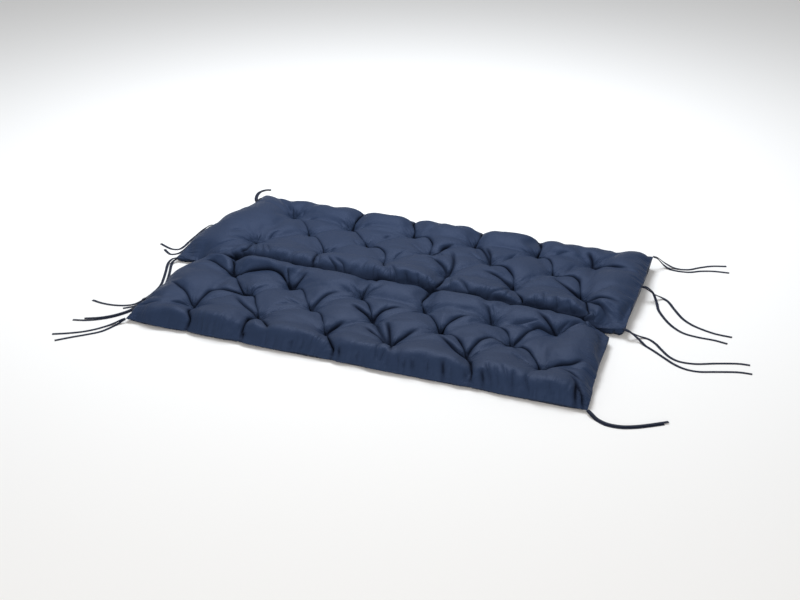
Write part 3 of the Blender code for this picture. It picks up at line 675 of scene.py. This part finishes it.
flat_points = [vertex.co.to_2d() for vertex in loop] + [Vector(point[:2]) for point in under_points]
rim_edges = [(i, (i + 1) % len(loop)) for i in range(len(loop))]
made = delaunay_2d_cdt(flat_points, rim_edges, [], 1, 1e-7)
came_from = [min(originals) if originals else None for originals in made[3]]
under_verts = {}
cut_layer = case.loops.layers.uv.active


def under_vert(index):
    """The rim's own vertex, or a new one of the lower cloth."""
    if index not in under_verts:
        original = came_from[index]
        if original is not None and original < len(loop):
            under_verts[index] = loop[original]
        else:
            flat = made[0][index]
            height = under_points[original - len(loop)][2] if original is not None else 0.0
            under_verts[index] = case.verts.new((flat.x, flat.y, height))
    return under_verts[index]


for triangle in made[2]:
    corners_of = [under_vert(index) for index in triangle]
    if len(set(corners_of)) == 3:
        normal_up = (corners_of[1].co.to_2d() - corners_of[0].co.to_2d()).cross(
            corners_of[2].co.to_2d() - corners_of[0].co.to_2d()) > 0
        face = case.faces.new(corners_of[::-1] if normal_up else corners_of)
        for corner in face.loops:
            corner[cut_layer].uv = (corner.vert.co.x + 3.0, corner.vert.co.y + 1.0)
bmesh.ops.recalc_face_normals(case, faces=case.faces[:])
for face in case.faces:
    face.smooth = True
case.to_mesh(upper)
case.free()


# ---- The cloth's finish ----
# Piece-dyed navy polyester in a fine plain weave with a faint sheen. Shade is painted into its colour where a
# crease closes and along the fold, and it is gathered finely round the tufts and along the seams.
MIX_FIRST, MIX_SECOND, MIX_COLOUR = 6, 7, 2  # the colour sockets of a Mix node


class Wire:
    """A socket of a finish's nodes, so that shader maths is written as plain sums."""

    def __init__(self, tree, socket=None):
        self.tree, self.socket = tree, socket

    def node(self, kind, settings=None, inputs=None, output=0):
        """Any node: its type, its settings, the values or wires of its sockets, and the output used."""
        new = self.tree.nodes.new(kind)
        for name, value in (settings or {}).items():
            setattr(new, name, value)
        for name, value in (inputs or {}).items():
            if isinstance(value, Wire):
                self.tree.links.new(value.socket, new.inputs[name])
            else:
                new.inputs[name].default_value = value
        return Wire(self.tree, new.outputs[output])

    def maths(self, operation, *values):
        return self.node("ShaderNodeMath", {"operation": operation}, dict(enumerate(values)))

    def __add__(self, other):
        return self.maths("ADD", self, other)

    def __mul__(self, other):
        return self.maths("MULTIPLY", self, other)

    __radd__, __rmul__ = __add__, __mul__

    def blend(self, share, first, second):
        """One colour running into another, by a share from 0 to 1."""
        return self.node("ShaderNodeMix", {"data_type": "RGBA"},
                         {"Factor": share, MIX_FIRST: first, MIX_SECOND: second}, MIX_COLOUR)

    def bands(self, along, direction, scale, more=None):
        """Fine even ribs, for threads and tapes."""
        return self.node("ShaderNodeTexWave", {"wave_type": "BANDS", "bands_direction": direction},
                         {"Vector": along, "Scale": scale, **(more or {})}, "Fac")

    def bump(self, height, strength, distance, more=None):
        return self.node("ShaderNodeBump", {}, {"Height": height, "Strength": strength, "Distance": distance,
                                                **(more or {})})

    def into(self, shader, name):
        self.tree.links.new(self.socket, shader.inputs[name])


def new_finish(name, inputs):
    """A material with its shader, and a wire to build its nodes from."""
    material = bpy.data.materials.new(name)
    material.use_nodes = True
    shader = material.node_tree.nodes["Principled BSDF"]
    for socket, value in inputs.items():
        shader.inputs[socket].default_value = value
    return material, shader, Wire(material.node_tree)


cushion_finish, shader, wire = new_finish("navy_polyester", {
    "Specular IOR Level": 0.14, "Specular Tint": (0.34, 0.48, 0.95, 1.0)})
threads = wire.node("ShaderNodeUVMap", {"uv_map": "cloth"})
slub = {"Distortion": 0.3, "Detail": 1.0, "Detail Scale": 4.0}
warp, weft = (wire.bands(threads, direction, 420.0, slub) for direction in "XY")
crumple = wire.node("ShaderNodeTexNoise", {}, {"Vector": threads, "Scale": 34.0, "Detail": 4.0,
                                              "Roughness": 0.55, "Distortion": 0.6}, "Fac")
patchy = wire.node("ShaderNodeTexNoise", {}, {"Vector": threads, "Scale": 7.0, "Detail": 3.0}, "Fac")
tone = wire.blend(patchy, (0.0170, 0.0285, 0.061, 1.0), (0.0200, 0.0335, 0.071, 1.0))
# Painted shade: the colour runs to near black where a crease closes and deep in the fold, and the cloth is
# rougher there.
painted_shade_mask = wire.node("ShaderNodeAttribute", {"attribute_name": "closed"}, {}, "Fac")
wire.blend(0.96 * painted_shade_mask, tone, (0.004, 0.006, 0.014, 1.0)).into(shader, "Base Color")
(0.42 + 0.10 * patchy + 0.05 * warp + 0.5 * painted_shade_mask).into(shader, "Roughness")
gathers = []
for name, stretch in (("fanned", None), ("upright", (75.0, 7.0, 1.0)), ("sideways", (7.0, 75.0, 1.0))):
    if stretch:
        lines = wire.node("ShaderNodeMapping", {}, {"Vector": threads, "Scale": stretch})
    else:
        lines = wire.node("ShaderNodeAttribute", {"attribute_name": "fan"}, {}, "Vector")
    folds = wire.node("ShaderNodeTexNoise", {}, {"Vector": lines, "Scale": 1.0, "Detail": 2.0}, "Fac")
    gathers.append(folds * wire.node("ShaderNodeAttribute", {"attribute_name": name}, {}, "Fac"))
weave = wire.bump(warp * weft, 0.25, 0.0003)
gathered = wire.bump(gathers[0] + gathers[1] + gathers[2], 1.0, 0.009, {"Normal": weave})
wire.bump(crumple, 0.5, 0.003, {"Normal": gathered}).into(shader, "Normal")
upper.materials.append(cushion_finish)
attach(cushion, "root")
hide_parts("cushion")


# ==== The tuft stitches ====
# At the bottom of each tuft a doubled navy thread shows as a small flat loop, where it comes up
# through the cloth and goes down again.
STITCH_LENGTH, STITCH_SHARE, THREAD_RADIUS = 0.0036, 0.34, 0.0006
DRAWN_TOGETHER = 0.007  # the cloth this near a tuft is where its thread lies

thread_finish, shader, wire = new_finish("navy_thread", {"Roughness": 0.55, "Specular IOR Level": 0.3})
twist = wire.bands(wire.node("ShaderNodeTexCoord", {}, {}, "Object"), "DIAGONAL", 500.0)
wire.blend(twist, (0.010, 0.015, 0.030, 1.0), (0.018, 0.026, 0.052, 1.0)).into(shader, "Base Color")

bpy.ops.object.select_all(action="DESELECT")
bpy.ops.mesh.primitive_torus_add(major_radius=STITCH_LENGTH, minor_radius=THREAD_RADIUS, major_segments=12,
                                 minor_segments=6)
pattern = bpy.context.object
pattern.scale = (1.0, STITCH_SHARE, 1.0)
bpy.ops.object.transform_apply(location=False, rotation=False, scale=True)
bpy.ops.object.shade_smooth()
stitches = []
for tuft in TUFTS:
    middle = fine[tuft.away(fine_x, fine_y) < DRAWN_TOGETHER].mean(axis=0)
    stitch = in_scene("stitch", pattern.data.copy())
    stitch.data.transform(Matrix.Translation((middle[0], middle[1], middle[2] + THREAD_RADIUS))
                          @ Matrix.Rotation(hand.uniform(0.0, math.pi), 4, "Z"))
    stitches.append(stitch)
bpy.data.objects.remove(pattern)
for stitch in stitches:
    stitch.select_set(True)
bpy.context.view_layer.objects.active = stitches[0]
bpy.ops.object.join()
stitches = stitches[0]
stitches.name = "tuft_stitches"
stitches.data.materials.append(thread_finish)
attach(stitches, "root")


# ==== The tie tapes ====
# Flat tapes, folded double and stitched along one edge, sewn into the end seams in pairs. They tie
# the cushion to a bench and lie loose on the floor here, each with a free end.
TAPE_WIDTH, TAPE_THICKNESS = 0.009, 0.0016
SEAM_GAP = 0.0006
STRAND_LIFT = 0.0014  # strand a leaves the seam above, strand b below
# Each row: the strand, the Y where it leaves the end seam, and its route in mm: x, y and height. A
# place without a height lies on the floor, OVER on another tape.
FLAT, OVER = 1.0, 3.4
TAPES = (
    ("right_rear_a", 0.490, ((722, 496, 34), (745, 507, 14), (772, 506, OVER), (800, 507), (826, 517),
     (849, 540), (885, 568), (930, 585))),
    ("right_rear_b", 0.490, ((722, 494, 31), (744, 499, 9), (770, 492), (800, 490), (831, 497),
     (860, 517), (900, 532), (948, 538))),
    ("right_back_a", 0.246, ((745, 247.2, 43), (765, 245, 29), (782, 228, 8), (800, 185), (833, 132),
     (866, 93), (903, 66), (949, 57), (995, 56), (1035, 48))),
    ("right_back_b", 0.246, ((742, 247, 39), (766, 258, 19), (790, 270, 5), (812, 258), (842, 212),
     (877, 162), (910, 132), (945, 113), (990, 98), (1040, 94))),
    ("right_fold_a", TIP_PLACE, ((760, -30, 26), (788, -34, 10), (818, -56), (848, -78), (885, -108),
     (919, -134), (955, -150), (993, -150), (1040, -132), (1095, -112), (1135, -108))),
    ("right_fold_b", TIP_PLACE, ((761, -24, 21), (785, -12, 7), (810, -8), (838, -28), (866, -62),
     (896, -95), (930, -112), (975, -108), (1025, -85), (1085, -62), (1120, -58))),
    ("right_front_a", -0.490, ((775, -500, 9), (795, -513, OVER), (826, -527, OVER), (862, -526, OVER),
     (897, -512, OVER), (931, -490, OVER), (975, -457, OVER))),
    ("right_front_b", -0.490, ((774, -502, 6), (794, -517), (824, -532), (862, -532), (899, -517),
     (934, -494), (966, -470))),
    ("left_rear_a", 0.490, ((-712, 485, 26), (-732, 500, 8), (-750, 527, OVER), (-762, 560, OVER),
     (-766, 592, OVER), (-755, 613, OVER), (-738, 620, OVER))),
    ("left_rear_b", 0.490, ((-713, 484, 23), (-733, 497, 5), (-753, 525), (-766, 558), (-771, 588),
     (-764, 606))),
    ("left_back_a", 0.2165, ((-769, 212.6, 20), (-788, 196, 6), (-791, 150), (-789, 100), (-786, 64),
     (-790, 37), (-811, 29), (-838, 38), (-870, 54))),
    ("left_back_b", 0.2165, ((-766, 212.4, 16), (-778, 190, 4), (-778, 140), (-776, 90), (-772, 46),
     (-775, 8), (-795, -9), (-818, 4), (-834, 18))),
    ("left_fold_a", TIP_PLACE, ((-759.5, -62, 12), (-761, -87, 6), (-745, -128), (-722, -183),
     (-706, -228), (-700, -270), (-700, -312), (-704, -350), (-714, -378), (-738, -396), (-772, -406),
     (-810, -407), (-848, -400))),
    ("left_fold_b", TIP_PLACE, ((-753.5, -66, 7), (-749, -88), (-732, -125), (-709, -178), (-693, -225),
     (-687, -270), (-688, -312), (-692, -350), (-704, -386), (-730, -414))),
    ("left_seat_a", -0.364, ((-684, -364, 20), (-695, -386, 6), (-700, -413, OVER), (-712, -442, OVER),
     (-734, -474, OVER), (-763, -500, OVER), (-800, -520, OVER))),
    ("left_seat_b", -0.364, ((-683, -364.5, 16), (-692, -388, 3), (-697, -415), (-709, -445),
     (-730, -478), (-757, -504), (-790, -525), (-830, -538))),
    ("left_front_a", -0.490, ((-684, -498, 10), (-700, -516, OVER), (-716, -540), (-731, -563),
     (-758, -592), (-795, -618), (-835, -640))),
    ("left_front_b", -0.490, ((-681, -501, 7), (-691, -520), (-700, -550), (-713, -577), (-742, -608),
     (-775, -640), (-805, -672))),
)
TAPE_STEP = 0.004
# The cross-section: flat, with rounded edges, and a little thinner at its middle than at its edges.
LOWER_HALF = [(-1.0, 0.0), (-0.94, -0.72), (-0.80, -1.0), (-0.45, -0.86), (0.0, -0.80), (0.45, -0.86),
              (0.80, -1.0), (0.94, -0.72)]
TAPE_SECTION = LOWER_HALF + [(-across, -up) for across, up in LOWER_HALF]

tape_finish, shader, wire = new_finish("navy_tape", {"Specular IOR Level": 0.12})
along_tape = wire.node("ShaderNodeUVMap", {"uv_map": "tape"})
ribs = wire.bands(along_tape, "DIAGONAL", 150.0, {"Distortion": 0.4, "Detail": 1.0})
worn = wire.node("ShaderNodeTexNoise", {}, {"Vector": along_tape, "Scale": 60.0, "Detail": 3.0}, "Fac")
wire.blend(worn, (0.010, 0.014, 0.028, 1.0), (0.015, 0.020, 0.040, 1.0)).into(shader, "Base Color")
(0.60 + 0.12 * worn).into(shader, "Roughness")
wire.bump(ribs, 0.4, 0.0003).into(shader, "Normal")

for name, at, stops in TAPES:
    end = 0 if name.startswith("left") else -1  # the first or the last column of the cloth
    start = Vector([float(np.interp(at, fine_y[:, end], fine[:, end, axis])) for axis in range(3)])
    points = [Vector([value / 1000 for value in (place + (FLAT,))[:3]]) for place in stops]
    start += Vector((0.0, 0.0, STRAND_LIFT if name.endswith("a") else -STRAND_LIFT))
    start += (points[0] - start).normalized() * SEAM_GAP
    line = [Vector((x, y, max(z, FLAT / 1000))) for x, y, z in smooth_line([start] + points, TAPE_STEP)]
    shape = bmesh.new()
    tape_lines = shape.loops.layers.uv.new("tape")
    sections = []
    for i, middle in enumerate(line):
        forward = (line[min(i + 1, len(line) - 1)] - line[max(i - 1, 0)]).normalized()
        across = forward.cross(Vector((0, 0, 1))).normalized()
        normal = across.cross(forward).normalized()
        sections.append([shape.verts.new(
            middle + a * across * TAPE_WIDTH / 2 + b * normal * TAPE_THICKNESS / 2) for a, b in TAPE_SECTION])
    count = len(TAPE_SECTION)
    for i, (first, second) in enumerate(zip(sections, sections[1:])):
        for k in range(count):
            face = shape.faces.new((first[k], first[(k + 1) % count], second[(k + 1) % count], second[k]))
            face.smooth = True
            for corner, (u, v) in zip(face.loops, ((i, k), (i, k + 1), (i + 1, k + 1), (i + 1, k))):
                corner[tape_lines].uv = (u * TAPE_STEP, v * 2 * TAPE_WIDTH / count)
    shape.faces.new(sections[0][::-1])
    shape.faces.new(sections[-1])
    bmesh.ops.recalc_face_normals(shape, faces=shape.faces[:])
    strip = bpy.data.meshes.new("tape_" + name)
    shape.to_mesh(strip)
    shape.free()
    strip.materials.append(tape_finish)
    piece = in_scene("tape_" + name, strip)
    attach(piece, "root")
    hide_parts("tie_" + name)


# ==== Floor, light and camera ====
# A plain pale floor, a cool soft light overhead and a wide warm one in front, and the photo's point
# of view.
bpy.ops.mesh.primitive_plane_add(size=14.0, location=(0.0, 0.0, 0.0))
floor = bpy.context.object
floor.name = "floor"
floor.data.materials.append(new_finish("pale_floor", {
    "Base Color": (0.86, 0.86, 0.86, 1.0), "Roughness": 0.9, "Specular IOR Level": 0.1})[0])


def soft_light(name, place, aim, size, power, colour):
    lamp = bpy.data.lights.new(name, "AREA")
    lamp.shape, lamp.size, lamp.energy, lamp.color = "SQUARE", size, power, colour
    light = in_scene(name, lamp)
    light.location = place
    light.rotation_euler = (Vector(aim) - Vector(place)).to_track_quat("-Z", "Y").to_euler()


soft_light("overhead", (-0.6, 1.3, 2.6), (0.0, 0.0, 0.0), 1.5, 86.0, (0.91, 0.955, 1.0))
soft_light("front_fill", (2.2, -6.6, 2.3), (0.0, 0.0, 0.0), 5.0, 330.0, (1.0, 0.92, 0.82))
world = bpy.data.worlds.new("studio")
bpy.context.scene.world = world
world.use_nodes = True
world.node_tree.nodes["Background"].inputs["Color"].default_value = (1.0, 1.0, 1.0, 1.0)
world.node_tree.nodes["Background"].inputs["Strength"].default_value = 0.45

AZIMUTH, ELEVATION, DISTANCE = math.radians(22.0), math.radians(26.3), 4.512
AIM = Vector((0.0628, -0.1058, 0.035))
backwards = Vector((math.sin(AZIMUTH) * math.cos(ELEVATION), -math.cos(AZIMUTH) * math.cos(ELEVATION),
                    math.sin(ELEVATION)))
lens = bpy.data.cameras.new("camera")
lens.lens, lens.sensor_width = 66.465, 36.0
camera = in_scene("camera", lens)
camera.location = AIM + backwards * DISTANCE
camera.rotation_euler = backwards.to_track_quat("Z", "Y").to_euler()
bpy.context.scene.camera = camera
bpy.context.scene.view_settings.view_transform = "Standard"
